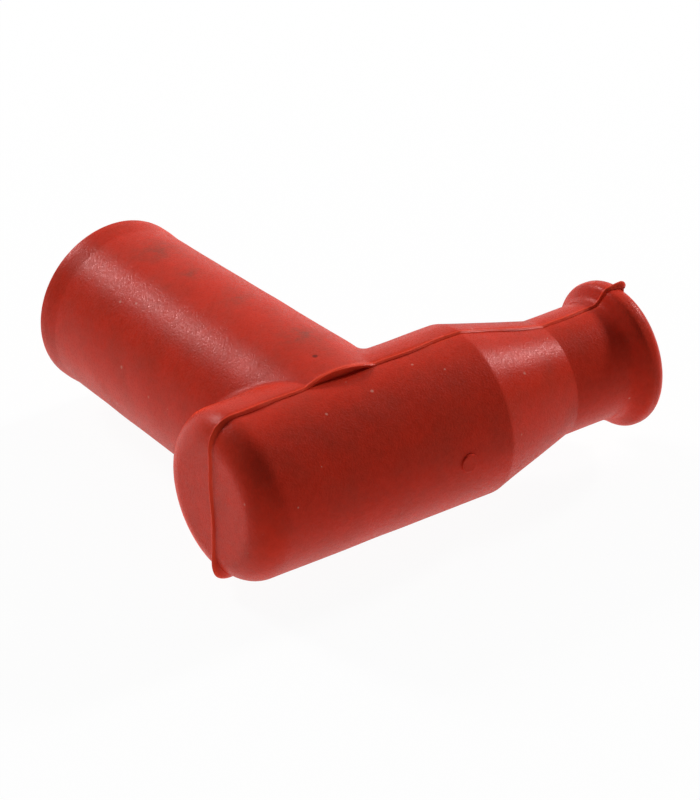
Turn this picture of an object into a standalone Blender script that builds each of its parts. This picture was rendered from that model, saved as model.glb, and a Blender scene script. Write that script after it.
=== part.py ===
"""Right-angle spark plug cap, lying on its side.

A T-shaped silicone rubber jacket is moulded over a phenolic core. The ignition lead goes in at the lipped
end of the body and is screwed onto a coarse pointed screw. The screw leads through a resistor to a brass
block, and the block carries the terminal that is pushed onto the spark plug inside the barrel.

All shapes are drawn around the point where the axis of the body (X, lead entry at +X) meets the axis of
the barrel (Y, plug mouth at +Y). An empty then carries that point to its place above the ground.
"""

import math

import bmesh
import bpy
from mathutils import Matrix, Vector

MM = 0.001

# Clearance between two pieces that touch
SEAT_GAP = 0.3 * MM

# Points closer than this are one point, and a fillet takes up no more than this share of a wall
MERGE_DISTANCE = 0.001 * MM
FILLET_SHARE = 0.49

# Outside of the rubber jacket: body, closed end, cone, neck and lip
BODY_RADIUS = 10.7 * MM
END_REACH = 17.5 * MM
END_FILLET = 4.0 * MM
SHOULDER_REACH = 18.2 * MM
SHOULDER_FILLET = 3.0 * MM
CONE_LENGTH = 12.4 * MM
NECK_RADIUS = 7.35 * MM
NECK_LENGTH = 8.1 * MM
NECK_FILLET = 1.2 * MM
LIP_RADIUS = 9.2 * MM
LIP_FLARE = 1.5 * MM
LIP_WIDTH = 2.7 * MM
LIP_BACK_FILLET = 1.1 * MM
LIP_FRONT_FILLET = 1.7 * MM

# Outside of the rubber jacket: barrel over the spark plug
BARREL_REACH = 48.2 * MM
BARREL_ROOT_RADIUS = 11.7 * MM
BARREL_MOUTH_RADIUS = 10.75 * MM
BARREL_BLEND = 2.2 * MM
BLEND_SINK = 0.33 * MM
RIM_WIDTH = 1.7 * MM
RIM_HEIGHT = 0.35 * MM
RIM_FILLET = 0.35 * MM

# Parting ridge left by the mould, and the small round mark on the front
RIDGE_HEIGHT = 0.35 * MM
RIDGE_CREST = 0.35 * MM
RIDGE_FOOT = 0.9 * MM
RIDGE_CORNER_RADIUS = 2.6 * MM
MARK_REACH = 11.8 * MM
MARK_RADIUS = 1.15 * MM
MARK_HEIGHT = 0.2 * MM

# Inside of the rubber jacket
BODY_WALL = 2.4 * MM
END_WALL = 2.7 * MM
LEAD_BORE_RADIUS = 3.6 * MM
LEAD_RIB_RADIUS = 3.1 * MM
LEAD_RIB_COUNT = 3
LEAD_RIB_PITCH = 3.2 * MM
LEAD_MOUTH_RADIUS = 4.6 * MM
LEAD_MOUTH_DEPTH = 1.6 * MM
PLUG_BORE_RADIUS = 6.0 * MM
PLUG_RIB_RADIUS = 5.2 * MM
PLUG_RIB_COUNT = 3
PLUG_RIB_PITCH = 4.4 * MM
PLUG_MOUTH_RADIUS = 7.4 * MM
PLUG_MOUTH_DEPTH = 5.0 * MM
RIB_WIDTH = 1.6 * MM
RIB_CREST = 0.64 * MM

# Phenolic core
CORE_LEAD_REACH = 18.8 * MM
CHAMBER_RADIUS = 4.2 * MM
LEAD_WALL = 2.6 * MM
LEG_REACH = 23.0 * MM
POCKET_WALL = 1.7 * MM
POCKET_FLOOR = 3.2 * MM
CORE_CHAMFER = 0.6 * MM

# Lead screw
SCREW_HEAD_THICKNESS = 1.8 * MM
SCREW_SHANK_RADIUS = 1.7 * MM
SCREW_ROOT_RADIUS = 1.15 * MM
SCREW_PITCH = 1.7 * MM
SCREW_THREAD_LENGTH = 11.0 * MM
SCREW_POINT_LENGTH = 3.0 * MM
SCREW_TIP_SHARE = 0.08
THREAD_FOOT_SHARE = 2 / 3

# Resistor between its two brass end caps
RESISTOR_RADIUS = 2.4 * MM
RESISTOR_CAP_WALL = 0.5 * MM
RESISTOR_CAP_LENGTH = 2.6 * MM

# Contact block, spring and the plug that shuts the chamber
BLOCK_HALF_LENGTH = 3.2 * MM
SPRING_WIRE_RADIUS = 0.42 * MM
SPRING_TURNS = 5
END_PLUG_THICKNESS = 2.6 * MM
SLOT_WIDTH = 1.0 * MM
SLOT_DEPTH = 0.8 * MM

# Terminal that takes the spark plug's nut, and its wire clip
TERMINAL_BORE_RADIUS = 3.25 * MM
TERMINAL_WALL = 1.0 * MM
TERMINAL_FLOOR = 2.2 * MM
TERMINAL_LIP_SETBACK = 1.6 * MM
TERMINAL_CHAMFER = 0.4 * MM
TERMINAL_SLOT_WIDTH = 1.1 * MM
TERMINAL_SLOT_LENGTH = 8.0 * MM
CLIP_WIRE_RADIUS = 0.4 * MM
CLIP_GROOVE_DEPTH = 0.4 * MM
CLIP_SETBACK = 3.6 * MM
CLIP_SPAN = math.radians(300)

# Facets around each kind of round piece
JACKET_SIDES = 48
BORE_SIDES = 24
CORE_SIDES = 24
SMALL_SIDES = 16
WIRE_SIDES = 6

# Sizes that follow from the ones above
NECK_START = SHOULDER_REACH + CONE_LENGTH
LIP_START = NECK_START + NECK_LENGTH
LEAD_REACH = LIP_START + LIP_FLARE + LIP_WIDTH
CORE_RADIUS = BODY_RADIUS - BODY_WALL - SEAT_GAP
CORE_END_REACH = END_REACH - END_WALL - SEAT_GAP
CHAMBER_FIT_RADIUS = CHAMBER_RADIUS - SEAT_GAP
TERMINAL_RADIUS = TERMINAL_BORE_RADIUS + TERMINAL_WALL
CLIP_RADIUS = TERMINAL_RADIUS - CLIP_GROOVE_DEPTH + SEAT_GAP + CLIP_WIRE_RADIUS
POCKET_RADIUS = max(CLIP_RADIUS + CLIP_WIRE_RADIUS, TERMINAL_RADIUS) + SEAT_GAP
LEG_RADIUS = POCKET_RADIUS + POCKET_WALL
POCKET_BOTTOM = CHAMBER_RADIUS + POCKET_FLOOR
SHANK_HOLE_RADIUS = SCREW_SHANK_RADIUS + SEAT_GAP
SCREW_SEAT = CORE_LEAD_REACH - LEAD_WALL - SEAT_GAP
RIDGE_RADIUS = max(BARREL_ROOT_RADIUS, BODY_RADIUS) + RIDGE_HEIGHT
LOWEST_RADIUS = max(RIDGE_RADIUS, BARREL_MOUTH_RADIUS + RIM_HEIGHT)

RUBBER_RED = (0.36, 0.028, 0.018)
PHENOLIC_BROWN = (0.045, 0.022, 0.014)
BRASS_YELLOW = (0.70, 0.47, 0.18)
STEEL_GREY = (0.56, 0.57, 0.58)
CERAMIC_WHITE = (0.78, 0.75, 0.68)


def material(name, colour, roughness, metallic=0.0):
    """A Principled material with one colour."""
    made = bpy.data.materials.new(name)
    made.use_nodes = True
    shader = made.node_tree.nodes["Principled BSDF"]
    shader.inputs["Base Color"].default_value = (*colour, 1.0)
    shader.inputs["Roughness"].default_value = roughness
    shader.inputs["Metallic"].default_value = metallic
    return made


def as_object(name, bm):
    """Turn a bmesh into an object of the scene with its faces pointing out."""
    bmesh.ops.recalc_face_normals(bm, faces=bm.faces)
    mesh = bpy.data.meshes.new(name)
    bm.to_mesh(mesh)
    bm.free()
    made = bpy.data.objects.new(name, mesh)
    bpy.context.scene.collection.objects.link(made)
    return made


def rounded(corners, quarter_steps=5):
    """An outline of (along, radius, fillet) corners. A fillet is an arc of so many steps a quarter."""
    points = []
    for index, (along, radius, fillet) in enumerate(corners):
        corner = Vector((along, radius))
        if fillet == 0.0:
            points.append(corner)
            continue
        back = Vector(corners[index - 1][:2]) - corner
        ahead = Vector(corners[index + 1][:2]) - corner
        half_angle = back.angle(ahead) / 2
        reach = min(fillet / math.tan(half_angle), FILLET_SHARE * back.length, FILLET_SHARE * ahead.length)
        true_fillet = reach * math.tan(half_angle)
        back.normalize()
        ahead.normalize()
        centre = corner + (back + ahead).normalized() * (true_fillet / math.sin(half_angle))
        first = corner + back * reach - centre
        last = corner + ahead * reach - centre
        sweep = first.angle_signed(last)
        steps = max(1, round(abs(sweep) / (math.pi / 2) * quarter_steps))
        for step in range(steps + 1):
            turn = Matrix.Rotation(-sweep * step / steps, 2)
            points.append(centre + turn @ first)
    return points


def turned(name, outline, sides, axis="X"):
    """Spin an outline of (along, radius) points, which starts and ends on the axis, into a closed solid."""
    bm = bmesh.new()
    verts = [bm.verts.new((point[0], point[1], 0.0)) for point in outline]
    edges = [bm.edges.new(pair) for pair in zip(verts, verts[1:])]
    bmesh.ops.spin(
        bm, geom=verts + edges, cent=(0, 0, 0), axis=(1, 0, 0), angle=math.tau, steps=sides, use_merge=True
    )
    bmesh.ops.remove_doubles(bm, verts=bm.verts, dist=MERGE_DISTANCE)
    if axis == "Y":
        bmesh.ops.rotate(bm, verts=bm.verts, cent=(0, 0, 0), matrix=Matrix.Rotation(math.pi / 2, 3, "Z"))
    return as_object(name, bm)


def cylinder(name, start, end, radius, sides, axis="X"):
    """A plain solid cylinder along an axis."""
    return turned(name, [(start, 0.0), (start, radius), (end, radius), (end, 0.0)], sides, axis)


def box(name, low, high):
    """A plain block between two corners."""
    bm = bmesh.new()
    bmesh.ops.create_cube(bm, size=1.0)
    size = Vector(high) - Vector(low)
    bmesh.ops.scale(bm, verts=bm.verts, vec=size)
    bmesh.ops.translate(bm, verts=bm.verts, vec=(Vector(high) + Vector(low)) / 2)
    return as_object(name, bm)


def bridged(name, loops, closed=False):
    """Join point loops of equal length one after another. Both ends are capped, or joined in a ring."""
    bm = bmesh.new()
    rings = [[bm.verts.new(point) for point in loop] for loop in loops]
    pairs = list(zip(rings, rings[1:]))
    if closed:
        pairs.append((rings[-1], rings[0]))
    else:
        bm.faces.new(rings[0])
        bm.faces.new(rings[-1])
    for ring, after in pairs:
        for index in range(len(ring)):
            follow = (index + 1) % len(ring)
            bm.faces.new((ring[index], ring[follow], after[follow], after[index]))
    return as_object(name, bm)


def combine(target, tools, operation):
    """Union the tools with the target, or cut them from it, and take the tools away.

    Points that a step leaves all but on top of each other are merged before the next one.
    """
    for tool in tools:
        step = target.modifiers.new(operation.lower(), "BOOLEAN")
        step.operation = operation
        step.solver = "EXACT"
        step.object = tool
        seen = target.evaluated_get(bpy.context.evaluated_depsgraph_get())
        target.data = bpy.data.meshes.new_from_object(seen)
        target.modifiers.clear()
        bpy.data.objects.remove(tool)
        bm = bmesh.new()
        bm.from_mesh(target.data)
        bmesh.ops.remove_doubles(bm, verts=bm.verts, dist=MERGE_DISTANCE)
        bmesh.ops.dissolve_degenerate(bm, edges=bm.edges, dist=MERGE_DISTANCE)
        bm.to_mesh(target.data)
        bm.free()


def finish(piece, name, made_of, crossing, smooth_to=30.0):
    """Name a piece, give it its material and soft shading, and hang it on the axes' crossing point."""
    piece.name = name
    piece.data.name = name
    piece.data.materials.clear()
    piece.data.materials.append(made_of)
    piece.data.shade_smooth()
    piece.data.set_sharp_from_angle(angle=math.radians(smooth_to))
    piece.parent = crossing
    return piece


def body_corners(proud, end_fillet):
    """Corners of the body's outline from the closed end to the back of the lip, grown outwards by proud."""
    return [
        (-END_REACH - proud, 0.0, 0.0),
        (-END_REACH - proud, BODY_RADIUS + proud, end_fillet),
        (SHOULDER_REACH, BODY_RADIUS + proud, SHOULDER_FILLET),
        (NECK_START, NECK_RADIUS + proud, SHOULDER_FILLET),
        (LIP_START, NECK_RADIUS + proud, NECK_FILLET),
        (LIP_START + LIP_FLARE, LIP_RADIUS + proud, LIP_BACK_FILLET),
    ]


def body_outline():
    """The body from the closed end to the lip as (along, radius)."""
    lip_front = [(LEAD_REACH, LIP_RADIUS, LIP_FRONT_FILLET), (LEAD_REACH, 0.0, 0.0)]
    return rounded(body_corners(0.0, END_FILLET) + lip_front)


def barrel_radius(along):
    """Outer radius of the barrel, which tapers from its root to its mouth."""
    return BARREL_ROOT_RADIUS + (BARREL_MOUTH_RADIUS - BARREL_ROOT_RADIUS) * along / BARREL_REACH


def barrel_outline():
    """The barrel from the parting plane to the rim of its mouth as (along, radius)."""
    rim_start = BARREL_REACH - RIM_WIDTH
    return rounded(
        [
            (0.0, 0.0, 0.0),
            (0.0, BARREL_ROOT_RADIUS, 0.0),
            (rim_start - RIM_HEIGHT, barrel_radius(rim_start), 0.0),
            (rim_start, BARREL_MOUTH_RADIUS + RIM_HEIGHT, RIM_FILLET),
            (BARREL_REACH, BARREL_MOUTH_RADIUS + RIM_HEIGHT, RIM_FILLET),
            (BARREL_REACH, 0.0, 0.0),
        ],
        quarter_steps=3,
    )


def blend_limit():
    """Angle around the barrel where the blend's ball comes down to the parting plane.

    On a barrel no wider than the body the ball runs right over the top, a quarter turn from the side.
    """
    share = (BODY_RADIUS + BARREL_BLEND) / (BARREL_ROOT_RADIUS + BARREL_BLEND)
    return math.asin(min(1.0, share))


def blend_section(angle, steps=4, tries=40):
    """Section of the concave fillet where the barrel meets the body, at one angle around the barrel.

    A ball of radius BARREL_BLEND rolls in the corner and touches both round surfaces. Its centre lies one
    ball radius outside each of them, and is found by repeated tries as the barrel tapers. The section is
    the arc between its two points of contact, closed through a point that lies inside both solids.
    """
    along = BODY_RADIUS
    for _ in range(tries):
        reach = barrel_radius(along) + BARREL_BLEND
        along = math.sqrt(max((BODY_RADIUS + BARREL_BLEND) ** 2 - (reach * math.sin(angle)) ** 2, 0.0))
    centre = Vector((reach * math.cos(angle), along, reach * math.sin(angle)))
    to_barrel = Vector((-math.cos(angle), 0.0, -math.sin(angle)))
    to_body = Vector((0.0, -centre.y, -centre.z)).normalized()
    arc = []
    for step in range(steps + 1):
        toward = to_barrel.slerp(to_body, step / steps)
        arc.append(centre + toward * BARREL_BLEND)
    inner = centre + (to_barrel + to_body) * (BARREL_BLEND + BLEND_SINK)
    return [arc[0] + to_barrel * BLEND_SINK] + arc + [arc[-1] + to_body * BLEND_SINK, inner]


def blend_solids(steps=14):
    """The fillet where the barrel meets the body.

    On a barrel wider than the body there is one along each side, from the parting plane at the top round
    to the bottom. On a narrower barrel one ring runs right round it.
    """
    if BARREL_ROOT_RADIUS <= BODY_RADIUS:
        around = [blend_section(math.pi * step / steps) for step in range(2 * steps)]
        return [bridged("blend", around, closed=True)]
    loops = []
    for step in range(steps + 1):
        angle = blend_limit() * math.sin(math.pi / 2 * (2 * step / steps - 1))
        loops.append(blend_section(angle))
    across = [[Vector((-point.x, point.y, point.z)) for point in loop] for loop in loops]
    return [bridged("blend", loops), bridged("blend_across", across)]


def barrel_hump(proud, steps=3):
    """Where a barrel wider than the body stands above it in the parting plane, grown outwards by proud.

    The (along, height) points follow the round barrel and, at each foot, the ball that blends it in.
    """
    if BARREL_ROOT_RADIUS <= BODY_RADIUS:
        return []
    tilt = math.pi / 2 - blend_limit()
    centre = Vector((math.sin(tilt), math.cos(tilt))) * (BARREL_ROOT_RADIUS + BARREL_BLEND)
    right = []
    for step in range(steps + 1):
        angle = tilt * step / steps
        right.append(Vector((math.sin(angle), math.cos(angle))) * (BARREL_ROOT_RADIUS + proud))
    for step in range(1, steps + 1):
        angle = tilt * (1 - step / steps)
        right.append(centre - Vector((math.sin(angle), math.cos(angle))) * (BARREL_BLEND - proud))
    left = [Vector((-point.x, point.y)) for point in right[:0:-1]]
    return left + right


def ridge_half(proud, corner_radius):
    """Upper half of the parting ridge's outline, from the closed end to the lip, grown by proud."""
    end_plane = LEAD_REACH - SEAT_GAP / 2
    square_lip = [(end_plane, LIP_RADIUS + proud, 0.0), (end_plane, 0.0, 0.0)]
    body = [point for point in rounded(body_corners(proud, corner_radius) + square_lip) if point.y > 0.0]
    foot = (BARREL_ROOT_RADIUS + BARREL_BLEND) * math.cos(blend_limit())
    before = [point for point in body if point.x < -foot]
    after = [point for point in body if point.x > foot]
    return before + barrel_hump(proud) + after


def ridge_solid():
    """The raised line that the two mould halves leave all round the body, as a loft across its thickness."""
    inner = ridge_half(-RIDGE_HEIGHT, END_FILLET)
    outer = ridge_half(RIDGE_HEIGHT, RIDGE_CORNER_RADIUS)
    loops = []
    for across, half in (
        (-RIDGE_FOOT / 2, inner),
        (-RIDGE_CREST / 2, outer),
        (RIDGE_CREST / 2, outer),
        (RIDGE_FOOT / 2, inner),
    ):
        below = [Vector((point.x, -point.y)) for point in reversed(half)]
        loops.append([(point.x, across, point.y) for point in half + below])
    return bridged("ridge", loops)


def ribbed_bore(start, end, radius, mouth_radius, mouth_depth, rib_radius, rib_count, rib_pitch, axis):
    """Cutter for a bore with sealing ribs standing into it and a wider mouth at its outer end."""
    outline = [(start, 0.0), (start, radius)]
    last_rib = end - mouth_depth - RIB_WIDTH
    for index in reversed(range(rib_count)):
        middle = last_rib - index * rib_pitch
        outline.append((middle - RIB_WIDTH / 2, radius))
        outline.append((middle - RIB_CREST / 2, rib_radius))
        outline.append((middle + RIB_CREST / 2, rib_radius))
        outline.append((middle + RIB_WIDTH / 2, radius))
    outline += [(end - mouth_depth, radius), (end, mouth_radius), (end + RIB_WIDTH, mouth_radius)]
    outline.append((end + RIB_WIDTH, 0.0))
    return turned("bore", outline, BORE_SIDES, axis)


def silicone_cover():
    """The rubber jacket: turned body and barrel, fillets and ridge, hollowed for core, lead and plug."""
    cover = turned("cover", body_outline(), JACKET_SIDES)
    mark = turned(
        "mark",
        rounded(
            [
                (BODY_RADIUS - BODY_WALL / 2, 0.0, 0.0),
                (BODY_RADIUS - BODY_WALL / 2, MARK_RADIUS, 0.0),
                (BODY_RADIUS + MARK_HEIGHT, MARK_RADIUS, MARK_HEIGHT),
                (BODY_RADIUS + MARK_HEIGHT, 0.0, 0.0),
            ],
            quarter_steps=2,
        ),
        SMALL_SIDES,
        "Y",
    )
    mark.data.transform(Matrix.Translation((MARK_REACH, 0.0, 0.0)) @ Matrix.Rotation(math.pi, 4, "Z"))
    barrel = turned("barrel", barrel_outline(), JACKET_SIDES, "Y")
    combine(cover, [barrel, *blend_solids(), ridge_solid(), mark], "UNION")
    hollow = cylinder(
        "hollow", -CORE_END_REACH - SEAT_GAP, CORE_LEAD_REACH + SEAT_GAP, CORE_RADIUS + SEAT_GAP, CORE_SIDES
    )
    leg_hollow = cylinder("leg_hollow", 0.0, LEG_REACH + SEAT_GAP, LEG_RADIUS + SEAT_GAP, CORE_SIDES, "Y")
    lead_bore = ribbed_bore(
        CORE_LEAD_REACH,
        LEAD_REACH,
        LEAD_BORE_RADIUS,
        LEAD_MOUTH_RADIUS,
        LEAD_MOUTH_DEPTH,
        LEAD_RIB_RADIUS,
        LEAD_RIB_COUNT,
        LEAD_RIB_PITCH,
        "X",
    )
    plug_bore = ribbed_bore(
        LEG_REACH,
        BARREL_REACH,
        PLUG_BORE_RADIUS,
        PLUG_MOUTH_RADIUS,
        PLUG_MOUTH_DEPTH,
        PLUG_RIB_RADIUS,
        PLUG_RIB_COUNT,
        PLUG_RIB_PITCH,
        "Y",
    )
    combine(cover, [hollow, leg_hollow, lead_bore, plug_bore], "DIFFERENCE")
    return cover


def insulator_core():
    """The phenolic T that holds the current path: a long chamber, and a leg with the terminal's pocket."""
    core = turned(
        "core",
        rounded(
            [
                (-CORE_END_REACH, 0.0, 0.0),
                (-CORE_END_REACH, CORE_RADIUS, CORE_CHAMFER),
                (CORE_LEAD_REACH, CORE_RADIUS, CORE_CHAMFER),
                (CORE_LEAD_REACH, 0.0, 0.0),
            ],
            quarter_steps=1,
        ),
        CORE_SIDES,
    )
    leg = turned(
        "leg",
        rounded(
            [
                (0.0, 0.0, 0.0),
                (0.0, LEG_RADIUS, 0.0),
                (LEG_REACH, LEG_RADIUS, CORE_CHAMFER),
                (LEG_REACH, 0.0, 0.0),
            ],
            quarter_steps=1,
        ),
        CORE_SIDES,
        "Y",
    )
    combine(core, [leg], "UNION")
    chamber_end = SCREW_SEAT + SEAT_GAP
    chamber = cylinder("chamber", -CORE_END_REACH - LEAD_WALL, chamber_end, CHAMBER_RADIUS, CORE_SIDES)
    lead_hole = cylinder("lead_hole", 0.0, CORE_LEAD_REACH + LEAD_WALL, SHANK_HOLE_RADIUS, SMALL_SIDES)
    pocket = cylinder("pocket", POCKET_BOTTOM, LEG_REACH + LEAD_WALL, POCKET_RADIUS, CORE_SIDES, "Y")
    shank_hole = cylinder("shank_hole", 0.0, POCKET_BOTTOM + SEAT_GAP, SHANK_HOLE_RADIUS, SMALL_SIDES, "Y")
    combine(core, [chamber, lead_hole, pocket, shank_hole], "DIFFERENCE")
    return core


def slotted(piece, along, direction):
    """Cut a screwdriver slot across a face that lies at one place on the body's axis."""
    ends = (along - direction * SEAT_GAP, along + direction * SLOT_DEPTH)
    low = (min(ends), -CHAMBER_RADIUS, -SLOT_WIDTH / 2)
    high = (max(ends), CHAMBER_RADIUS, SLOT_WIDTH / 2)
    combine(piece, [box("slot", low, high)], "DIFFERENCE")


def lead_screw(steps_per_turn=5):
    """Pointed screw that the stranded lead is turned onto: slotted head, plain shank and coarse thread.

    The thread is a ring whose radius rises and falls as a triangle wave of the distance along the screw
    less the turn reached so far, and it dies away towards the point.
    """
    head_start = SCREW_SEAT - SCREW_HEAD_THICKNESS
    thread_start = CORE_LEAD_REACH
    thread_end = thread_start + SCREW_THREAD_LENGTH
    stations = [head_start, SCREW_SEAT, SCREW_SEAT, thread_start - SEAT_GAP]
    loops = [[CHAMBER_FIT_RADIUS] * SMALL_SIDES] * 2 + [[SCREW_SHANK_RADIUS] * SMALL_SIDES] * 2
    count = max(2, round(SCREW_THREAD_LENGTH / SCREW_PITCH * steps_per_turn))
    for step in range(count + 1):
        along = thread_start + SCREW_THREAD_LENGTH * step / count
        taper = min(1.0, (thread_end - along) / SCREW_POINT_LENGTH + SCREW_TIP_SHARE)
        fade_in = min(1.0, (along - thread_start) / SCREW_PITCH)
        loop = []
        for side in range(SMALL_SIDES):
            phase = ((along - thread_start) / SCREW_PITCH - side / SMALL_SIDES) % 1.0
            crest = max(0.0, 1.0 - abs(2.0 * phase - 1.0) / THREAD_FOOT_SHARE)
            rise = (SCREW_SHANK_RADIUS - SCREW_ROOT_RADIUS) * crest * fade_in
            loop.append((SCREW_ROOT_RADIUS + rise) * taper)
        loops.append(loop)
        stations.append(along)
    placed = []
    for along, loop in zip(stations, loops):
        ring = []
        for side, radius in enumerate(loop):
            angle = math.tau * side / SMALL_SIDES
            ring.append((along, radius * math.cos(angle), radius * math.sin(angle)))
        placed.append(ring)
    screw = bridged("screw", placed)
    slotted(screw, head_start, 1)
    return screw


def resistor_span():
    """Ends of the ceramic rod along the body, from the contact block's face to the screw's head."""
    setback = SEAT_GAP + RESISTOR_CAP_WALL + SEAT_GAP
    start = BLOCK_HALF_LENGTH + setback
    end = SCREW_SEAT - SCREW_HEAD_THICKNESS - setback
    return start, end


def resistor_cap(end, direction):
    """A drawn brass cup over one end of the ceramic rod. Its open side points along the direction."""
    bore = RESISTOR_RADIUS + SEAT_GAP
    floor_inner = end - direction * SEAT_GAP
    floor_outer = floor_inner - direction * RESISTOR_CAP_WALL
    rim = floor_outer + direction * RESISTOR_CAP_LENGTH
    outline = [
        (floor_outer, 0.0),
        (floor_outer, bore + RESISTOR_CAP_WALL),
        (rim, bore + RESISTOR_CAP_WALL),
        (rim, bore),
        (floor_inner, bore),
        (floor_inner, 0.0),
    ]
    return turned("cap", outline, CORE_SIDES)


def contact_block():
    """Brass cylinder that joins the resistor to the plug terminal, cross-bored for the terminal's shank."""
    block = cylinder("block", -BLOCK_HALF_LENGTH, BLOCK_HALF_LENGTH, CHAMBER_FIT_RADIUS, CORE_SIDES)
    hole = cylinder("hole", -CHAMBER_RADIUS, CHAMBER_RADIUS, SHANK_HOLE_RADIUS, SMALL_SIDES, "Y")
    combine(block, [hole], "DIFFERENCE")
    return block


def coil(name, centre_radius, wire_radius, angle_span, start, advance, axis="X", steps_per_turn=14):
    """Round wire wound around an axis: each ring of the wire stands square to the winding circle."""
    count = max(2, round(angle_span / math.tau * steps_per_turn))
    loops = []
    for step in range(count + 1):
        turn = angle_span * step / count
        along = start + advance * step / count
        ring = []
        for side in range(WIRE_SIDES):
            around = math.tau * side / WIRE_SIDES
            radius = centre_radius + wire_radius * math.cos(around)
            reach = along + wire_radius * math.sin(around)
            ring.append(Vector((reach, radius * math.cos(turn), radius * math.sin(turn))))
        loops.append(ring)
    made = bridged(name, loops)
    if axis == "Y":
        made.data.transform(Matrix.Rotation(math.pi / 2, 4, "Z"))
    return made


def contact_spring():
    """Compression spring that presses the contact block against the resistor."""
    start = -CORE_END_REACH + END_PLUG_THICKNESS + SEAT_GAP + SPRING_WIRE_RADIUS
    end = -BLOCK_HALF_LENGTH - SEAT_GAP - SPRING_WIRE_RADIUS
    radius = CHAMBER_FIT_RADIUS - SPRING_WIRE_RADIUS
    return coil("spring", radius, SPRING_WIRE_RADIUS, math.tau * SPRING_TURNS, start, end - start)


def end_plug():
    """Slotted disc that shuts the chamber at the closed end of the body."""
    plug = cylinder(
        "plug", -CORE_END_REACH, -CORE_END_REACH + END_PLUG_THICKNESS, CHAMBER_FIT_RADIUS, CORE_SIDES
    )
    slotted(plug, -CORE_END_REACH, 1)
    return plug


def terminal_mouth():
    """Place of the terminal's open end along the barrel's axis."""
    return LEG_REACH - TERMINAL_LIP_SETBACK


def plug_terminal():
    """Turned brass socket with a shank: two slots let its fingers spring, and a groove holds the clip."""
    mouth = terminal_mouth()
    base = POCKET_BOTTOM + SEAT_GAP
    shank_end = -CHAMBER_FIT_RADIUS / 2
    groove_low = mouth - CLIP_SETBACK - CLIP_WIRE_RADIUS - SEAT_GAP
    groove_high = mouth - CLIP_SETBACK + CLIP_WIRE_RADIUS + SEAT_GAP
    groove_radius = TERMINAL_RADIUS - CLIP_GROOVE_DEPTH
    terminal = turned(
        "terminal",
        rounded(
            [
                (shank_end, 0.0, 0.0),
                (shank_end, SCREW_SHANK_RADIUS, 0.0),
                (base, SCREW_SHANK_RADIUS, 0.0),
                (base, TERMINAL_RADIUS, 0.0),
                (groove_low, TERMINAL_RADIUS, 0.0),
                (groove_low, groove_radius, 0.0),
                (groove_high, groove_radius, 0.0),
                (groove_high, TERMINAL_RADIUS, 0.0),
                (mouth, TERMINAL_RADIUS, TERMINAL_CHAMFER),
                (mouth, TERMINAL_BORE_RADIUS, TERMINAL_CHAMFER),
                (base + TERMINAL_FLOOR, TERMINAL_BORE_RADIUS, 0.0),
                (base + TERMINAL_FLOOR, 0.0, 0.0),
            ],
            quarter_steps=1,
        ),
        CORE_SIDES,
        "Y",
    )
    slot = box(
        "slot",
        (-TERMINAL_SLOT_WIDTH / 2, mouth - TERMINAL_SLOT_LENGTH, -POCKET_RADIUS),
        (TERMINAL_SLOT_WIDTH / 2, mouth + TERMINAL_FLOOR, POCKET_RADIUS),
    )
    combine(terminal, [slot], "DIFFERENCE")
    return terminal


def terminal_clip():
    """Open ring of spring wire in the terminal's groove. It keeps the fingers closed on the plug's nut."""
    middle = terminal_mouth() - CLIP_SETBACK
    return coil("clip", CLIP_RADIUS, CLIP_WIRE_RADIUS, CLIP_SPAN, middle, 0.0, "Y", steps_per_turn=20)


for leftover in list(bpy.data.objects):
    bpy.data.objects.remove(leftover)

crossing = bpy.data.objects.new("axes_crossing", None)
bpy.context.scene.collection.objects.link(crossing)
crossing.location = (
    (END_REACH + RIDGE_HEIGHT - LEAD_REACH) / 2,
    (BODY_RADIUS + MARK_HEIGHT - BARREL_REACH) / 2,
    LOWEST_RADIUS,
)

silicone = material("red_silicone_rubber", RUBBER_RED, 0.55)
phenolic = material("brown_phenolic", PHENOLIC_BROWN, 0.45)
brass = material("turned_brass", BRASS_YELLOW, 0.3, 1.0)
steel = material("zinc_plated_steel", STEEL_GREY, 0.35, 1.0)
ceramic = material("white_ceramic", CERAMIC_WHITE, 0.5)

resistor_start, resistor_end = resistor_span()
rod = cylinder("rod", resistor_start, resistor_end, RESISTOR_RADIUS, CORE_SIDES)
finish(silicone_cover(), "silicone_cover", silicone, crossing)
finish(insulator_core(), "insulator_core", phenolic, crossing)
finish(lead_screw(), "lead_screw", steel, crossing)
finish(rod, "resistor_body", ceramic, crossing)
finish(resistor_cap(resistor_end, -1), "resistor_cap_lead", brass, crossing)
finish(resistor_cap(resistor_start, 1), "resistor_cap_block", brass, crossing)
finish(contact_block(), "contact_block", brass, crossing)
finish(contact_spring(), "contact_spring", steel, crossing)
finish(end_plug(), "end_plug", phenolic, crossing)
finish(plug_terminal(), "plug_terminal", brass, crossing)
finish(terminal_clip(), "terminal_clip", steel, crossing)
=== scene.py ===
"""Right-angle spark plug cap: the looks of its moulded rubber jacket and of the parts inside it.

Shapes are worked out in millimetres round the point where the axis of the body (X, lead entry at +X) meets
the axis of the barrel (Y, plug mouth at +Y). They are then carried into the frame, which is in metres.
"""

import math

import bmesh
import bpy
import numpy as np
from mathutils import Matrix, Vector


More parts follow.
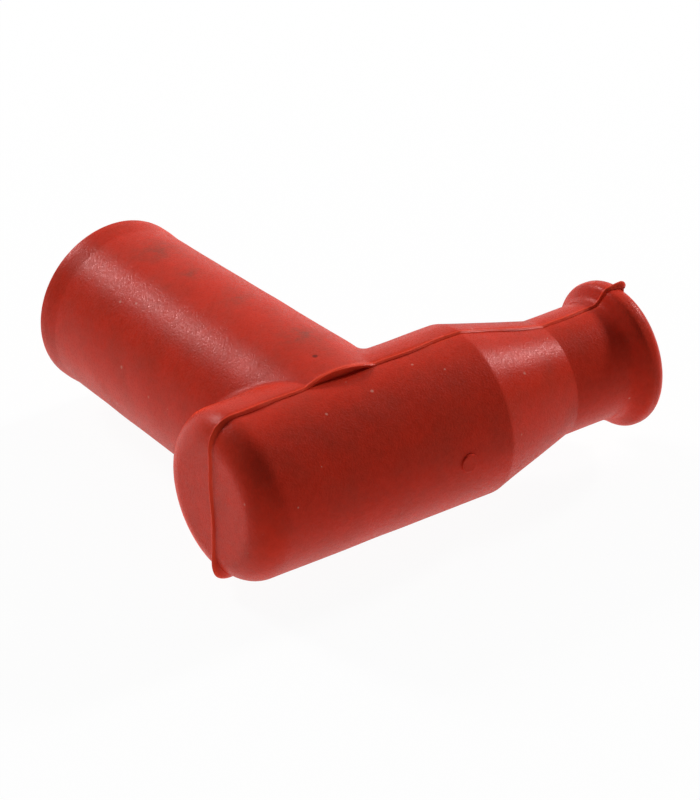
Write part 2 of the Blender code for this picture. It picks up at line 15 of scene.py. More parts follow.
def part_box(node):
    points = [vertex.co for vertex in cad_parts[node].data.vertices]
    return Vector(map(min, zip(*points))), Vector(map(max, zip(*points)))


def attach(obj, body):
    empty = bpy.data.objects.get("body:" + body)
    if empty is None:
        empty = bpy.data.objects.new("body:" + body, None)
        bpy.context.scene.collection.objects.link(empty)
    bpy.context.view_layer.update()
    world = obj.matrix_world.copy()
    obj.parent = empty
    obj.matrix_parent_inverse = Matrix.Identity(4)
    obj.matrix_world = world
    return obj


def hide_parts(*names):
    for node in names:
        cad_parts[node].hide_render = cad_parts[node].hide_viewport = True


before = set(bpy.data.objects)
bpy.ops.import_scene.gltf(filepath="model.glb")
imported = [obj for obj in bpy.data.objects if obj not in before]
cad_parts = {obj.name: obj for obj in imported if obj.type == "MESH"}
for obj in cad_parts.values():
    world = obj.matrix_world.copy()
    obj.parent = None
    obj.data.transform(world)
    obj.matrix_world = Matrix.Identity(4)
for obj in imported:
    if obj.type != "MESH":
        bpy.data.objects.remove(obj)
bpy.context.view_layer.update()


# Rubber jacket
# One piece of silicone rubber, compression moulded in two halves that part in the plane Y = 0. The flash
# between the halves stays as a soft ridge all round the body. The core is pressed in through the barrel.

MM = 0.001
block_low, block_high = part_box("contact_block")
terminal_low, terminal_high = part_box("plug_terminal")
CROSSING = Vector(
    (
        (terminal_low.x + terminal_high.x) / 2,
        (block_low.y + block_high.y) / 2,
        (block_low.z + block_high.z) / 2,
    )
)
_, cover_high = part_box("silicone_cover")
LEAD_REACH = (cover_high.x - CROSSING.x) / MM
BARREL_REACH = (cover_high.y - CROSSING.y) / MM

BODY_RADIUS = 10.7
END_REACH = 17.6
END_FILLET = 3.8
SHOULDER_REACH = 18.3
SHOULDER_FILLET = 1.4
NECK_START = 30.6
NECK_RADIUS = 7.35
NECK_FILLET = 0.8
LIP_RADIUS = 9.2
LIP_FLARE = 1.3
LIP_WIDTH = 2.5
LIP_ROOT_FILLET = 1.4
LIP_BACK_FILLET = 1.2
LIP_FRONT_FILLET = 1.5
MOULD_SHIFT = 0.09
BODY_SIDES = 192

BARREL_ROOT_RADIUS = 11.7
BARREL_MOUTH_RADIUS = 10.75
BARREL_TAPER_START = 9.0
BARREL_LEAN = 0.75
BARREL_BLEND = 2.2
BLEND_DIP = 0.02
RIM_WIDTH = 1.7
RIM_HEIGHT = 0.24
RIM_FILLET = 0.35
RIM_RUN_IN = 1.6
RIM_RUN_OUT = 0.5
RIM_ROOT_FILLET = 2.5
BARREL_SIDES = 180

FINE_STEP = 0.45


def rounded(corners, step=FINE_STEP, largest_turn=math.radians(9)):
    """Outline through (along, radius, fillet) corners, as an array of (along, radius) points.

    A fillet is the arc that touches both walls of its corner. Its centre lies on the line that halves the
    corner, fillet / sin(half the corner's angle) away. The arc's points are the centre plus the sum of its
    first and last spoke, weighted sin((1 - share) * sweep) and sin(share * sweep) over sin(sweep). Walls are
    cut into steps of about one length.
    """
    points = [np.array([corners[0][:2]], float)]
    for before, (along, radius, fillet), after in zip(corners, corners[1:], corners[2:]):
        corner = np.array((along, radius), float)
        back = np.array(before[:2], float) - corner
        ahead = np.array(after[:2], float) - corner
        back /= np.linalg.norm(back)
        ahead /= np.linalg.norm(ahead)
        half = math.acos(np.clip(back @ ahead, -1.0, 1.0)) / 2
        if fillet == 0.0:
            points.append(corner[None])
            continue
        centre = corner + (back + ahead) / np.linalg.norm(back + ahead) * fillet / math.sin(half)
        first = corner + back * fillet / math.tan(half) - centre
        last = corner + ahead * fillet / math.tan(half) - centre
        sweep = math.pi - 2 * half
        count = max(2, math.ceil(max(sweep / largest_turn, sweep * fillet / step)))
        share = np.linspace(0.0, 1.0, count + 1)[:, None]
        spokes = first * np.sin((1 - share) * sweep) + last * np.sin(share * sweep)
        points.append(centre + spokes / math.sin(sweep))
    points.append(np.array([corners[-1][:2]], float))
    rough = np.concatenate(points)
    walls = np.linalg.norm(np.diff(rough, axis=0), axis=1)
    cuts = np.maximum(1, np.round(walls / step)).astype(int)
    stations = np.concatenate([np.arange(n) / n + i for i, n in enumerate(cuts)] + [[len(cuts)]])
    return np.stack([np.interp(stations, np.arange(len(rough)), rough[:, axis]) for axis in (0, 1)], axis=1)


def body_grid(outline, sides):
    """Turn an outline round X: y = -radius cos(turn), z = radius sin(turn), so turn 0 faces the front."""
    turn = np.linspace(0.0, math.tau, sides, endpoint=False)
    radius = outline[:, 1:2]
    along = np.broadcast_to(outline[:, 0:1], radius.shape[:1] + turn.shape)
    return np.stack([along, -radius * np.cos(turn), radius * np.sin(turn)], axis=-1)


def barrel_grid(outline, sides):
    """Turn an outline round Y: x = radius cos(turn), z = radius sin(turn)."""
    turn = np.linspace(0.0, math.tau, sides, endpoint=False)
    radius = outline[:, 1:2]
    along = np.broadcast_to(outline[:, 0:1], radius.shape[:1] + turn.shape)
    return np.stack([radius * np.cos(turn), along, radius * np.sin(turn)], axis=-1)


MERGE_DISTANCE = 0.002


def cleaned(mesh, turn_outwards=False):
    """Merge points that lie all but on top of each other, and point the faces of a plain shape outwards.

    Faces are not turned after a cut, because the wall of a closed hollow has to keep facing inwards.
    """
    bm = bmesh.new()
    bm.from_mesh(mesh)
    bmesh.ops.remove_doubles(bm, verts=bm.verts, dist=MERGE_DISTANCE)
    bmesh.ops.dissolve_degenerate(bm, edges=bm.edges, dist=MERGE_DISTANCE / 2)
    if turn_outwards:
        bmesh.ops.recalc_face_normals(bm, faces=bm.faces)
    bm.to_mesh(mesh)
    bm.free()


def solid(name, grid, ring=False):
    """A closed mesh from a grid of points whose columns run round: a tube with two caps, or a closed ring.

    A first or last row that has shrunk to one point becomes a pole with triangles round it, and any other
    first or last row is closed by one flat face.
    """
    rows, columns = grid.shape[:2]
    number = np.arange(rows * columns).reshape(rows, columns)
    lower = number if ring else number[:-1]
    upper = np.roll(number, -1, axis=0) if ring else number[1:]
    quads = np.stack([lower, np.roll(lower, -1, 1), np.roll(upper, -1, 1), upper], axis=-1).reshape(-1, 4)
    mesh = bpy.data.meshes.new(name)
    faces = quads.tolist()
    if not ring:
        faces += [number[0, ::-1].tolist(), number[-1].tolist()]
    mesh.from_pydata(grid.reshape(-1, 3).tolist(), [], faces)
    cleaned(mesh, turn_outwards=True)
    made = bpy.data.objects.new(name, mesh)
    bpy.context.scene.collection.objects.link(made)
    return made


def combine(target, tools, operation):
    """Union the tools with the target, or cut them from it, one after another."""
    for tool in tools:
        step = target.modifiers.new(operation.lower(), "BOOLEAN")
        step.operation = operation
        step.solver = "MANIFOLD"
        step.object = tool
        seen = target.evaluated_get(bpy.context.evaluated_depsgraph_get())
        target.data = bpy.data.meshes.new_from_object(seen)
        target.modifiers.clear()
        cleaned(target.data)
        bpy.data.objects.remove(tool)


def uneven(along, turn, height=0.012):
    """Soft unevenness of moulded rubber, in mm: three crossing sine waves of 7, 11 and 17 mm."""
    return height * (
        np.sin(along / 11.0 * math.tau + 2 * turn)
        + np.sin(along / 17.0 * math.tau - 3 * turn + 1.0)
        + 0.6 * np.sin(along / 7.0 * math.tau + 5 * turn + 2.0)
    )


lip_start = LEAD_REACH - LIP_WIDTH - LIP_FLARE
body_corners = [
    (-END_REACH, 0.0, 0.0),
    (-END_REACH, BODY_RADIUS, END_FILLET),
    (SHOULDER_REACH, BODY_RADIUS, SHOULDER_FILLET),
    (NECK_START, NECK_RADIUS, NECK_FILLET),
    (lip_start, NECK_RADIUS, LIP_ROOT_FILLET),
    (lip_start + LIP_FLARE, LIP_RADIUS, LIP_BACK_FILLET),
    (LEAD_REACH, LIP_RADIUS, LIP_FRONT_FILLET),
    (LEAD_REACH, 0.0, 0.0),
]
body_line = rounded(body_corners)
body_points = body_grid(body_line, BODY_SIDES)
round_x = np.arctan2(body_points[..., 2], -body_points[..., 1])
shift = MOULD_SHIFT * np.sign(body_points[..., 1])
grown = 1.0 + (uneven(body_points[..., 0], round_x) + shift) / BODY_RADIUS
body_points[..., 1:] *= grown[..., None]
jacket = solid("red_silicone_jacket", body_points)


def barrel_radius(along):
    """Radius of the barrel: even at the root, then an even taper to the mouth."""
    share = np.maximum(0.0, (along - BARREL_TAPER_START) / (BARREL_REACH - BARREL_TAPER_START))
    return BARREL_ROOT_RADIUS + (BARREL_MOUTH_RADIUS - BARREL_ROOT_RADIUS) * share


def lean(points):
    """Push points along X by BARREL_LEAN times their share of the way back from the mouth to the root."""
    points[..., 0] += BARREL_LEAN * (1 - points[..., 1] / BARREL_REACH)


rim_start = BARREL_REACH - RIM_WIDTH
barrel_line = rounded(
    [
        (0.0, 0.0, 0.0),
        (0.0, BARREL_ROOT_RADIUS, 0.0),
        (BARREL_TAPER_START, BARREL_ROOT_RADIUS, 0.0),
        (rim_start - RIM_RUN_IN, barrel_radius(rim_start - RIM_RUN_IN), RIM_ROOT_FILLET),
        (rim_start + RIM_RUN_OUT, BARREL_MOUTH_RADIUS + RIM_HEIGHT, RIM_ROOT_FILLET),
        (BARREL_REACH, BARREL_MOUTH_RADIUS + RIM_HEIGHT, RIM_FILLET),
        (BARREL_REACH, 0.0, 0.0),
    ]
)
barrel_points = barrel_grid(barrel_line, BARREL_SIDES)
round_y = np.arctan2(barrel_points[..., 2], barrel_points[..., 0])
swell = 1.0 + uneven(barrel_points[..., 1], round_y) / BARREL_ROOT_RADIUS
barrel_points[..., 0] *= swell
barrel_points[..., 2] *= swell
lean(barrel_points)
barrel = solid("barrel", barrel_points)


BLEND_STATIONS = 48
BLEND_ARC_STEPS = 10
BLEND_SINK = 0.15 * BARREL_BLEND
CLOSING_ROUNDS = 60


def blend_grid(side):
    """Fillet between barrel and body as a grid: rows go round the barrel, columns round a section.

    A ball of radius BARREL_BLEND rolls along the corner. Its centre stays one ball radius, less a slight
    dip, outside the cone of the barrel and outside the body's cylinder. The place along the barrel is
    closed in on round by round, because the cone's radius changes with it. The section is the ball's arc
    between the two surfaces, turned evenly from one contact to the other and closed inside the rubber.
    """
    reach_body = BODY_RADIUS + MOULD_SHIFT + BARREL_BLEND - BLEND_DIP
    limit = math.asin(reach_body / (BARREL_ROOT_RADIUS + BARREL_BLEND - BLEND_DIP))
    turn = limit * np.sin(np.linspace(-math.pi / 2, math.pi / 2, BLEND_STATIONS + 1))
    along = np.full_like(turn, BODY_RADIUS)
    for _ in range(CLOSING_ROUNDS):
        reach = barrel_radius(along) + BARREL_BLEND - BLEND_DIP
        along = np.sqrt(np.maximum(reach_body**2 - (reach * np.sin(turn)) ** 2, 0.0))
    centre = np.stack([reach * np.cos(turn), along, reach * np.sin(turn)], axis=-1)
    to_barrel = np.stack([-np.cos(turn), np.zeros_like(turn), -np.sin(turn)], axis=-1)
    to_body = np.stack([np.zeros_like(turn), -centre[:, 1], -centre[:, 2]], axis=-1)
    to_body /= np.linalg.norm(to_body, axis=1, keepdims=True)
    opening = np.arccos(np.clip(np.sum(to_barrel * to_body, axis=1), -1.0, 1.0))[:, None, None]
    share = np.linspace(0.0, 1.0, BLEND_ARC_STEPS + 1)[None, :, None]
    arc = np.sin((1 - share) * opening) * to_barrel[:, None] + np.sin(share * opening) * to_body[:, None]
    arc = centre[:, None] + arc / np.sin(opening) * BARREL_BLEND
    sunk_barrel = arc[:, :1] + to_barrel[:, None] * BLEND_SINK
    sunk_body = arc[:, -1:] + to_body[:, None] * BLEND_SINK
    inner = centre[:, None] + (to_barrel + to_body)[:, None] * (BARREL_BLEND + BLEND_SINK)
    section = np.concatenate([sunk_barrel, arc, sunk_body, inner], axis=1)
    section[..., 0] *= side
    lean(section)
    return section


RIDGE_FOOT = 0.66
RIDGE_HEIGHT = 0.18
RIDGE_SINK = 0.3
RIDGE_STEP = 0.25
RIDGE_DIP = 0.02
RIDGE_STRAY = 0.16
STRAY_WAVES = (21.0, 8.0)
BEAD_FOOT = 0.64
BEAD_RISE = 0.08
SWELL_SPREAD = 1.4
SPREAD_LIMIT = 0.5
LIP_CORNER = 0.3

# The ridge's rounded section: height as a share of the ridge's, where -1 is the sunk foot, and place as a
# share of the foot's width
SECTION_LIFT = np.array([-1.0, 0.0, 0.2, 0.6, 0.92, 1.0, 0.92, 0.6, 0.2, 0.0, -1.0])
SECTION_PLACE = np.array([-0.5, -0.5, -0.38, -0.26, -0.12, 0.0, 0.12, 0.26, 0.38, 0.5, 0.5])

# Places (x, z) in the parting plane where the flash stands higher or lower, by how much and how far along
RIDGE_SWELLS = (
    (-17.2, -10.0, 0.95, 1.9),
    (-16.2, 10.2, 0.2, 1.8),
    (-11.5, 10.8, 0.15, 2.5),
    (BARREL_LEAN, BARREL_ROOT_RADIUS, -0.2, 3.5),
    (LEAD_REACH - 0.4, LIP_RADIUS, 0.32, 1.7),
    (LEAD_REACH - 3.5, -NECK_RADIUS, -0.22, 3.0),
)


def ridge_path():
    """Closed line of the parting plane as (x, z): the body's outline above and below, with the hump.

    The hump is the round root of the barrel, eased into the body by the ball of the fillet. The ball's centre
    lies tilted from the upright by the angle whose cosine is (body + ball) / (root + ball), all as radii.
    """
    tilt = math.acos((BODY_RADIUS + BARREL_BLEND) / (BARREL_ROOT_RADIUS + BARREL_BLEND))
    centre = np.array([math.sin(tilt), math.cos(tilt)]) * (BARREL_ROOT_RADIUS + BARREL_BLEND)
    turn = np.arange(-tilt, tilt, RIDGE_STEP / BARREL_ROOT_RADIUS)
    crest = np.stack([np.sin(turn), np.cos(turn)], axis=-1) * BARREL_ROOT_RADIUS
    bend = np.arange(tilt, 0.0, -RIDGE_STEP / BARREL_BLEND)
    right = centre - np.stack([np.sin(bend), np.cos(bend)], axis=-1) * BARREL_BLEND
    hump = np.concatenate([right[::-1] * (-1.0, 1.0), crest, right]) + (BARREL_LEAN, 0.0)
    corners = body_corners[:6] + [(LEAD_REACH, LIP_RADIUS, LIP_CORNER), (LEAD_REACH, 0.0, 0.0)]
    body = rounded(corners, RIDGE_STEP)
    before = body[body[:, 0] < hump[0, 0] - RIDGE_STEP / 2]
    after = body[body[:, 0] > hump[-1, 0] + RIDGE_STEP / 2]
    upper = np.concatenate([before, hump, after])
    return np.concatenate([upper, upper[-2:0:-1] * (1.0, -1.0)])


def ridge_grid():
    """The ridge as a closed ring: a rounded section carried along the parting line, square to it.

    Its height is the plain height plus, round each swell, extra * exp(-(distance / reach) ** 2). It strays
    sideways as two sine waves of the way run. On the closed end it stands a little higher, and on the front
    of the lip it dips below the surface, because the flash is trimmed off there.
    """
    path = ridge_path()
    ahead = np.roll(path, -1, axis=0) - np.roll(path, 1, axis=0)
    run = np.cumsum(np.linalg.norm(ahead, axis=1)) / 2
    ahead /= np.linalg.norm(ahead, axis=1, keepdims=True)
    outward = np.stack([-ahead[:, 1], ahead[:, 0]], axis=-1)
    bead = np.clip((-path[:, 0] - END_REACH + END_FILLET) / END_FILLET, 0.0, 1.0)
    height = RIDGE_HEIGHT + BEAD_RISE * bead
    for x, z, extra, reach in RIDGE_SWELLS:
        height += extra * np.exp(-np.sum((path - (x, z)) ** 2, axis=1) / reach**2)
    lip_face = (path[:, 0] > LEAD_REACH - LIP_CORNER / 2) & (np.abs(path[:, 1]) < LIP_RADIUS - LIP_CORNER)
    height = np.where(lip_face, -RIDGE_SINK, height)
    foot = RIDGE_FOOT + (BEAD_FOOT - RIDGE_FOOT) * bead
    foot += SWELL_SPREAD * np.clip(height - RIDGE_HEIGHT, 0.0, SPREAD_LIMIT)
    slow, quick = (np.sin(run / run[-1] * math.tau * round(run[-1] / wave)) for wave in STRAY_WAVES)
    stray = RIDGE_STRAY * (slow + 0.5 * quick)
    rise = np.where(SECTION_LIFT < 0, -RIDGE_SINK, SECTION_LIFT * height[:, None] - RIDGE_DIP)
    flat = path[:, None] + outward[:, None] * rise[..., None]
    across = stray[:, None] + foot[:, None] * SECTION_PLACE
    return np.stack([flat[..., 0], across, flat[..., 1]], axis=-1)


ridge = solid("ridge", ridge_grid(), ring=True)

# A low round mark on the front of the body, left by a pin in the mould
MARK_REACH = 11.8
MARK_RADIUS = 1.15
MARK_HEIGHT = 0.14
MARK_EASE = 0.06
MARK_FOOT = 0.8 * BODY_RADIUS
MARK_SIDES = 48
mark_line = rounded(
    [
        (MARK_FOOT, 0.0, 0.0),
        (MARK_FOOT, MARK_RADIUS, 0.0),
        (BODY_RADIUS + MARK_HEIGHT, MARK_RADIUS, MARK_EASE),
        (BODY_RADIUS + MARK_HEIGHT, 0.0, 0.0),
    ]
)
mark_points = barrel_grid(mark_line, MARK_SIDES) * (1.0, -1.0, 1.0) + (MARK_REACH, 0.0, 0.0)
mark = solid("mark", mark_points)

fillets = [solid("fillet", blend_grid(side)) for side in (1, -1)]
combine(jacket, [barrel, *fillets, ridge, mark], "UNION")

# Two ribbed bores and the hollow that the core fills
LEAD_BORE_RADIUS = 3.6
LEAD_RIB_RADIUS = 3.1
LEAD_RIB_PITCH = 3.2
LEAD_MOUTH_RADIUS = 4.6
LEAD_MOUTH_DEPTH = 1.6
PLUG_BORE_RADIUS = 6.0
PLUG_RIB_RADIUS = 5.2
PLUG_RIB_PITCH = 4.4
PLUG_MOUTH_RADIUS = 7.4
PLUG_MOUTH_DEPTH = 5.0
RIB_WIDTH = 1.6
RIB_COUNT = 3
RIB_CREST_GAIN = 0.12
RIB_CREST_FILLET = 0.45
RIB_ROOT_FILLET = 0.3
MOUTH_STEP = 0.35
MOUTH_FLARE = 1.2
LEAD_BORE_SIDES = 96
PLUG_BORE_SIDES = 120
HOLLOW_SIDES = 48
HOLLOW_STEP = 3.0
core_low, core_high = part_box("insulator_core")
CORE_LEAD_REACH = (core_high.x - CROSSING.x) / MM
CORE_END_REACH = (CROSSING.x - core_low.x) / MM
CORE_RADIUS = (core_high.z - CROSSING.z) / MM
LEG_REACH = (core_high.y - CROSSING.y) / MM
LEG_RADIUS = 6.95
SEAT_GAP = 0.3


def ribbed_line(start, end, radius, rib_radius, rib_pitch, mouth_radius, mouth_depth):
    """Outline of a bore with rounded sealing ribs: three corners to a rib, all eased by fillets.

    A crest's corner stands a little past the rib's radius, because its fillet takes that much off.
    """
    corners = [(start, 0.0, 0.0), (start, radius, 0.0)]
    last_rib = end - mouth_depth - RIB_WIDTH
    for index in reversed(range(RIB_COUNT)):
        middle = last_rib - index * rib_pitch
        corners.append((middle - 0.5 * RIB_WIDTH, radius, RIB_ROOT_FILLET))
        corners.append((middle, rib_radius - RIB_CREST_GAIN, RIB_CREST_FILLET))
        corners.append((middle + 0.5 * RIB_WIDTH, radius, RIB_ROOT_FILLET))
    corners.append((end - mouth_depth, radius, RIB_ROOT_FILLET))
    corners.append((end - MOUTH_STEP, mouth_radius, RIB_ROOT_FILLET))
    corners.append((end + RIB_WIDTH, mouth_radius + MOUTH_FLARE, 0.0))
    corners.append((end + RIB_WIDTH, 0.0, 0.0))
    return rounded(corners)


lead_bore = solid(
    "lead_bore",
    body_grid(
        ribbed_line(
            CORE_LEAD_REACH,
            LEAD_REACH,
            LEAD_BORE_RADIUS,
            LEAD_RIB_RADIUS,
            LEAD_RIB_PITCH,
            LEAD_MOUTH_RADIUS,
            LEAD_MOUTH_DEPTH,
        ),
        LEAD_BORE_SIDES,
    ),
)
plug_bore = solid(
    "plug_bore",
    barrel_grid(
        ribbed_line(
            LEG_REACH,
            BARREL_REACH,
            PLUG_BORE_RADIUS,
            PLUG_RIB_RADIUS,
            PLUG_RIB_PITCH,
            PLUG_MOUTH_RADIUS,
            PLUG_MOUTH_DEPTH,
        ),
        PLUG_BORE_SIDES,
    ),
)
hollow_line = rounded(
    [
        (-CORE_END_REACH - SEAT_GAP, 0.0, 0.0),
        (-CORE_END_REACH - SEAT_GAP, CORE_RADIUS + SEAT_GAP, 0.0),
        (CORE_LEAD_REACH + SEAT_GAP, CORE_RADIUS + SEAT_GAP, 0.0),
        (CORE_LEAD_REACH + SEAT_GAP, 0.0, 0.0),
    ],
    step=HOLLOW_STEP,
)
leg_line = rounded(
    [
        (0.0, 0.0, 0.0),
        (0.0, LEG_RADIUS + SEAT_GAP, 0.0),
        (LEG_REACH + SEAT_GAP, LEG_RADIUS + SEAT_GAP, 0.0),
        (LEG_REACH + SEAT_GAP, 0.0, 0.0),
    ],
    step=HOLLOW_STEP,
)
core_hollow = solid("core_hollow", body_grid(hollow_line, HOLLOW_SIDES))
leg_hollow = solid("leg_hollow", barrel_grid(leg_line, HOLLOW_SIDES))
combine(jacket, [core_hollow, leg_hollow, lead_bore, plug_bore], "DIFFERENCE")


def linear(code):
    """An sRGB hex colour as linear red, green, blue and alpha.

    A part is ((part + 0.055) / 1.055) to the power 2.4, or part / 12.92 where it is darkest.
    """
    parts = np.array([int(code[i : i + 2], 16) for i in (0, 2, 4)]) / 255
    bright = ((parts + 0.055) / 1.055) ** 2.4
    return (*np.where(parts <= 0.04045, parts / 12.92, bright).tolist(), 1.0)


def add(tree, kind, settings=None, links=None, **values):
    """Add one node: settings are its own properties, values go to its sockets, links name source sockets."""
    made = tree.nodes.new("ShaderNode" + kind)
    for key, value in (settings or {}).items():
        setattr(made, key, value)
    for key, value in values.items():
        made.inputs[key.replace("_", " ")].default_value = value
    for key, source in (links or {}).items():
        tree.links.new(source, made.inputs[key])
    return made


SHARP_ANGLE = math.radians(35)


def finish_piece(piece, nodes, made_of):
    """Carry a piece from millimetres round the crossing into the frame, dress it, hang it on the root body,
    and hide the model's nodes that it stands in for.
    """
    piece.data.transform(Matrix.Translation(CROSSING) @ Matrix.Scale(MM, 4))
    piece.data.shade_smooth()
    piece.data.set_sharp_from_angle(angle=SHARP_ANGLE)
    piece.data.materials.clear()
    piece.data.materials.append(made_of)
    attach(piece, "root")
    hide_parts(*nodes)


def begin(name):
    """A new material, its node tree, its shader, and the Object coordinates that its patterns read."""
    made_of = bpy.data.materials.new(name)
    made_of.use_nodes = True
    tree = made_of.node_tree
    return made_of, tree, tree.nodes["Principled BSDF"], add(tree, "TexCoord").outputs["Object"]


# Moulded silicone rubber. The mould's etched skin leaves a satin face whose highlights break into fine grain.
# A film from handling clouds the red. The thin flash lets light through, and that glow is painted into the
# colour as a lighter band along the parting plane.
# Grease, dust and a speck of tar lie on the barrel. Gloss and sheen take on the red of the rubber. The real
# grain is finer, and is drawn as coarse as it needs to be to show.
GRAIN = 0.26
SKIN_DEPTH = 0.04
MOTTLE = 0.9
FILM = 4.5
SMEAR = 1.3
FLASH_GLOW_HALF_WIDTH = 0.25
FLASH_GLOW_FADE_END = 0.55
DUST_SPACING = 2.8
DUST_RADIUS = 0.32
LIGHT_DEPTH = 0.8
RGB_MIX = {"data_type": "RGBA"}

# Centres of the greasy patches in millimetres round the crossing, how far they reach, and how strong
GREASE_PATCHES = (
    ((2.2, 9.5, 11.5), 4.0, 0.9),
    ((2.1, 5.2, 11.5), 2.6, 0.5),
    ((0.9, 38.5, 10.9), 4.2, 0.8),
    ((0.7, 31.0, 11.1), 3.0, 0.6),
    ((1.4, 22.0, 11.3), 3.4, 0.55),
)
TAR_SPECK = (0.26, 4.2, 11.7)
TAR_RADIUS = 0.42

silicone, tree, shader, place = begin("moulded_silicone_rubber")
mottle = add(tree, "TexNoise", links={"Vector": place}, Scale=1 / (MOTTLE * MM), Detail=3.0, Roughness=0.6)
red = add(tree, "Mix", RGB_MIX, {"Factor": mottle.outputs["Fac"]}, A=linear("ba2c1c"), B=linear("d63a28"))
film = add(tree, "TexNoise", links={"Vector": place}, Scale=1 / (FILM * MM), Detail=5.0, Roughness=0.65)
filmed = add(
    tree, "MapRange", links={"Value": film.outputs["Fac"]}, From_Min=0.42, From_Max=0.68, To_Max=0.34
)
worn = add(
    tree,
    "Mix",
    RGB_MIX,
    {"Factor": filmed.outputs["Result"], "A": red.outputs["Result"]},
    B=linear("9a3a2c"),
)

# Painted glow of the flash: the colour is painted lighter the closer a place lies to the parting plane,
# standing in for the light that shines through the thin rubber there
plane = add(tree, "SeparateXYZ", links={0: place})
aside = add(tree, "Math", {"operation": "SUBTRACT"}, {0: plane.outputs["Y"]})
aside.inputs[1].default_value = CROSSING.y
off = add(tree, "Math", {"operation": "ABSOLUTE"}, {0: aside.outputs[0]})
flash_glow_share = add(
    tree,
    "MapRange",
    links={"Value": off.outputs[0]},
    From_Min=FLASH_GLOW_FADE_END * MM,
    From_Max=FLASH_GLOW_HALF_WIDTH * MM,
    To_Max=0.8,
)
flash_painted_glow = add(
    tree, "Mix", RGB_MIX, {"Factor": flash_glow_share.outputs["Result"], "A": worn.outputs["Result"]}, B=linear("e4452c")
)

# Grease: the strongest patch at each place, broken up by the smear
smear = add(tree, "TexNoise", links={"Vector": place}, Scale=1 / (SMEAR * MM), Detail=4.0, Roughness=0.7)
smeared = add(tree, "MapRange", links={"Value": smear.outputs["Fac"]}, From_Min=0.36, From_Max=0.66)
grease = add(tree, "Value").outputs[0]
grease.default_value = 0.0
for centre, reach, strength in GREASE_PATCHES:
    point = CROSSING + Vector(centre) * MM
    away = add(tree, "VectorMath", {"operation": "DISTANCE"}, {0: place})
    away.inputs[1].default_value = point
    near = add(
        tree,
        "MapRange",
        links={"Value": away.outputs["Value"]},
        From_Min=reach * MM,
        From_Max=0.0,
        To_Max=strength,
    )
    grease = add(tree, "Math", {"operation": "MAXIMUM"}, {0: near.outputs["Result"], 1: grease}).outputs[0]
greased = add(tree, "Math", {"operation": "MULTIPLY"}, {0: grease, 1: smeared.outputs["Result"]})
dirty = add(
    tree, "Mix", RGB_MIX, {"Factor": greased.outputs[0], "A": flash_painted_glow.outputs["Result"]}, B=linear("7a4438")
)

# Dust: one speck to a cell, with its size drawn from the chance colour of the cell
cells = add(tree, "TexVoronoi", links={"Vector": place}, Scale=1 / (DUST_SPACING * MM))
dust_share = DUST_RADIUS / DUST_SPACING
sized = add(tree, "Math", {"operation": "DIVIDE"}, {0: cells.outputs["Distance"], 1: cells.outputs["Color"]})
speck = add(
    tree,
    "MapRange",
    links={"Value": sized.outputs[0]},
    From_Min=dust_share,
    From_Max=0.5 * dust_share,
    To_Max=0.42,
)
dusty = add(
    tree,
    "Mix",
    RGB_MIX,
    {"Factor": speck.outputs["Result"], "A": dirty.outputs["Result"]},
    B=linear("e8b8a8"),
)

away = add(tree, "VectorMath", {"operation": "DISTANCE"}, {0: place})
away.inputs[1].default_value = CROSSING + Vector(TAR_SPECK) * MM
tar = add(
    tree,
    "MapRange",
    links={"Value": away.outputs["Value"]},
    From_Min=TAR_RADIUS * MM,
    From_Max=0.5 * TAR_RADIUS * MM,
    To_Max=0.8,
)
tarred = add(
    tree, "Mix", RGB_MIX, {"Factor": tar.outputs["Result"], "A": dusty.outputs["Result"]}, B=linear("4a1c16")
)
tree.links.new(tarred.outputs["Result"], shader.inputs["Base Color"])

grain = add(tree, "TexNoise", links={"Vector": place}, Scale=1 / (GRAIN * MM), Detail=3.0, Roughness=0.65)
skin = add(tree, "Bump", links={"Height": grain.outputs["Fac"]}, Strength=1.0, Distance=SKIN_DEPTH * MM)
tree.links.new(skin.outputs["Normal"], shader.inputs["Normal"])
shine = add(
    tree,
    "MapRange",
    links={"Value": grain.outputs["Fac"]},
    From_Min=0.35,
    From_Max=0.65,
    To_Min=0.16,
    To_Max=0.46,
)
tree.links.new(shine.outputs["Result"], shader.inputs["Roughness"])
shader.inputs["IOR"].default_value = 1.41
shader.inputs["Specular IOR Level"].default_value = 0.16
shader.inputs["Specular Tint"].default_value = linear("ff4030")
shader.inputs["Sheen Weight"].default_value = 1.0
shader.inputs["Sheen Roughness"].default_value = 0.33
shader.inputs["Sheen Tint"].default_value = linear("ff4420")
shader.inputs["Subsurface Weight"].default_value = 0.08
shader.inputs["Subsurface Radius"].default_value = (1.0, 0.2, 0.1)
shader.inputs["Subsurface Scale"].default_value = LIGHT_DEPTH * MM

finish_piece(jacket, ["silicone_cover"], silicone)


# Insulator core and end plug
# The core is a T of brown phenolic resin, compression moulded and drilled. A slotted disc of the same resin
# shuts the drilled chamber at the closed end of the body.

CHAMBER_RADIUS = 4.2
CORE_CHAMFER = 0.6
CORE_JOIN_FILLET = 0.35
POCKET_RADIUS = 5.25
POCKET_BOTTOM = 7.4
SHANK_HOLE_RADIUS = 2.0
TOOL_OVERRUN = 2.6
CORE_SIDES = 96
HOLE_SIDES = 48
INNER_STEP = 1.0
ROD_STEP = 2.0
SLOT_WIDTH = 1.0
SLOT_DEPTH = 0.8
plug_low, plug_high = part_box("end_plug")
PLUG_DISC_EDGE = 0.25
PLUG_DISC_RADIUS = (plug_high.z - plug_low.z) / 2 / MM
PLUG_DISC_INNER = (plug_high.x - CROSSING.x) / MM
screw_low, screw_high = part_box("lead_screw")
SCREW_HEAD_START = (screw_low.x - CROSSING.x) / MM
SCREW_HEAD_THICKNESS = 1.8
SCREW_SEAT = SCREW_HEAD_START + SCREW_HEAD_THICKNESS


def rod(name, start, end, radius, turn_grid, fillet=0.0, sides=CORE_SIDES, step=ROD_STEP):
    """A solid rod between two places on an axis, with rounded edges."""
    corners = [(start, 0.0, 0.0), (start, radius, fillet), (end, radius, fillet), (end, 0.0, 0.0)]
    return solid(name, turn_grid(rounded(corners, step), sides))


